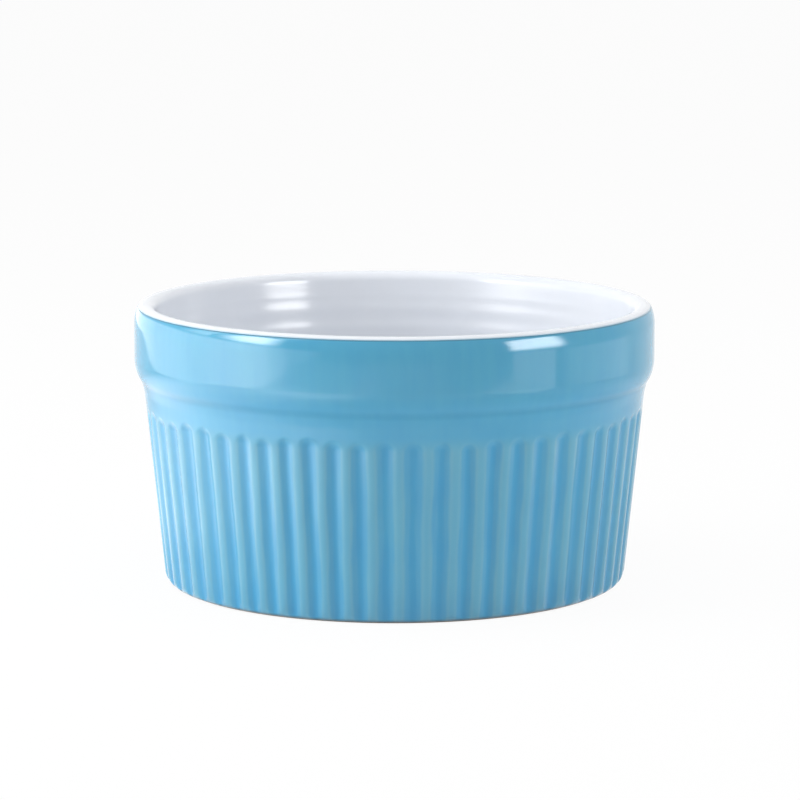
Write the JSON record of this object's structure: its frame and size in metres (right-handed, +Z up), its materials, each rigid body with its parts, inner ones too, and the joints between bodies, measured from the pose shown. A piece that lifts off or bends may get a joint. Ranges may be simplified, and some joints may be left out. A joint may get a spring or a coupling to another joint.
{
  "type": "ramekin",
  "caption": "Round fluted ramekin for baking single portions, with an upright plain collar, white glaze inside and over the lip, blue glaze outside and a bare clay foot ring.",
  "frame": {"origin": "centre of the foot ring on the resting plane", "axes": "+Z up along the ramekin's axis, towards the open mouth; the picture looks along +Y; the dish is the same all round apart from where its ribs stand"},
  "size_m": [0.1, 0.1, 0.0542],
  "materials": {
    "bare_stoneware": "matte",
    "blue_glaze": "gloss",
    "white_glaze": "gloss"
  },
  "bodies": {
    "root": {"stoneware_body": "bare_stoneware", "blue_outer_glaze": "blue_glaze", "white_inner_glaze": "white_glaze", "white_base_glaze": "white_glaze"}
  },
  "joints": []
}
